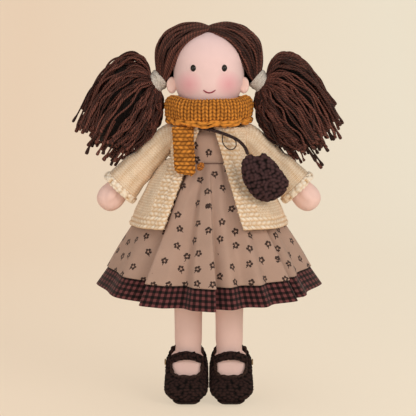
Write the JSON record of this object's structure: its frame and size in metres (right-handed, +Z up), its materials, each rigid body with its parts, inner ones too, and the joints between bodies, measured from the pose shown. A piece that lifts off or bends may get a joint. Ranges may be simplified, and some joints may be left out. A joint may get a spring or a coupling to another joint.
{
  "type": "rag doll",
  "caption": "Standing stuffed cloth doll with turning head, swinging arms and legs, yarn pigtails, printed dress, knitted cardigan and scarf, small purse and strap shoes.",
  "frame": {"origin": "on the floor, midway between the shoes, at the middle of the plan box", "axes": "+Z up along the standing doll, -Y is the doll's front, +X is the doll's own left"},
  "size_m": [0.2902, 0.2004, 0.3994],
  "materials": {
    "skin_cloth": "plain woven cotton, pale skin colour",
    "hair_yarn": "dark reddish-brown wool yarn",
    "cream_knit": "cream hand-knitted wool",
    "mustard_knit": "mustard ribbed and garter knit",
    "print_cloth": "taupe cotton with a small dark flower print",
    "check_cloth": "small rose-brown and black gingham",
    "lining_cloth": "plain ecru cotton",
    "dark_crochet": "dark aubergine-brown crochet",
    "shoe_crochet": "dark brown crochet",
    "tie_linen": "off-white flecked linen",
    "mouth_thread": "rose embroidery thread",
    "bead_gloss": "glossy black bead",
    "button_horn": "light brown wooden button"
  },
  "bodies": {
    "torso": {"torso": "skin_cloth", "bodice": "print_cloth", "skirt": "print_cloth", "underskirt": "lining_cloth", "gingham_frill": "check_cloth", "cardigan_back": "cream_knit", "cardigan_front_left": "cream_knit", "cardigan_front_right": "cream_knit", "front_band_left": "cream_knit", "front_band_right": "cream_knit", "scarf_wrap": "mustard_knit"},
    "head": {"head": "skin_cloth", "eye_left": "bead_gloss", "eye_right": "bead_gloss", "mouth_stitch": "mouth_thread", "ear_left": "skin_cloth", "ear_right": "skin_cloth", "hair_left": "hair_yarn", "hair_right": "hair_yarn", "hair_tie_left": "tie_linen", "hair_tie_right": "tie_linen"},
    "pigtail_left": {"pigtail_left": "hair_yarn"},
    "pigtail_right": {"pigtail_right": "hair_yarn"},
    "arm_left": {"arm_left": "skin_cloth", "sleeve_left": "cream_knit", "cuff_left": "cream_knit"},
    "arm_right": {"arm_right": "skin_cloth", "sleeve_right": "cream_knit", "cuff_right": "cream_knit"},
    "leg_left": {"leg_left": "skin_cloth", "shoe_left": "shoe_crochet", "shoe_strap_left": "shoe_crochet", "shoe_button_left": "button_horn", "sole_left": "shoe_crochet"},
    "leg_right": {"leg_right": "skin_cloth", "shoe_right": "shoe_crochet", "shoe_strap_right": "shoe_crochet", "shoe_button_right": "button_horn", "sole_right": "shoe_crochet"},
    "purse": {"purse_body": "dark_crochet", "purse_strap": "dark_crochet", "purse_loop": "dark_crochet"},
    "scarf_tail": {"scarf_tail": "mustard_knit", "scarf_yarn_end": "mustard_knit"}
  },
  "joints": [
    {"name": "head_turn", "type": "hinge", "parent": "torso", "child": "head", "pos_m": [0, 0, 0.30415], "axis": [0, 0, 1], "range_deg": [-30, 30]},
    {"name": "shoulder_left", "type": "hinge", "parent": "torso", "child": "arm_left", "pos_m": [0.04, 0, 0.278], "axis": [-1, 0, 0], "range_deg": [-20, 40]},
    {"name": "shoulder_right", "type": "hinge", "parent": "torso", "child": "arm_right", "pos_m": [-0.04, 0, 0.278], "axis": [1, 0, 0], "range_deg": [-60, 20]},
    {"name": "hip_left", "type": "hinge", "parent": "torso", "child": "leg_left", "pos_m": [0.0218, 0, 0.2003], "axis": [-1, 0, 0], "range_deg": [-30, 35]},
    {"name": "hip_right", "type": "hinge", "parent": "torso", "child": "leg_right", "pos_m": [-0.0218, 0, 0.2003], "axis": [-1, 0, 0], "range_deg": [-30, 35]},
    {"name": "pigtail_swing_left", "type": "hinge", "parent": "head", "child": "pigtail_left", "pos_m": [0.0594, 0.004, 0.3332], "axis": [-1, 0, 0], "range_deg": [-20, 20]},
    {"name": "pigtail_swing_right", "type": "hinge", "parent": "head", "child": "pigtail_right", "pos_m": [-0.0594, 0.004, 0.3332], "axis": [1, 0, 0], "range_deg": [-20, 20]},
    {"name": "purse_swing", "type": "hinge", "parent": "torso", "child": "purse", "pos_m": [-0.0115, -0.0286, 0.2888], "axis": [-1, 0, 0], "range_deg": [0, 60]},
    {"name": "scarf_tail_swing", "type": "hinge", "parent": "torso", "child": "scarf_tail", "pos_m": [-0.027, -0.0285, 0.288], "axis": [-1, 0, 0], "range_deg": [0, 45]}
  ]
}
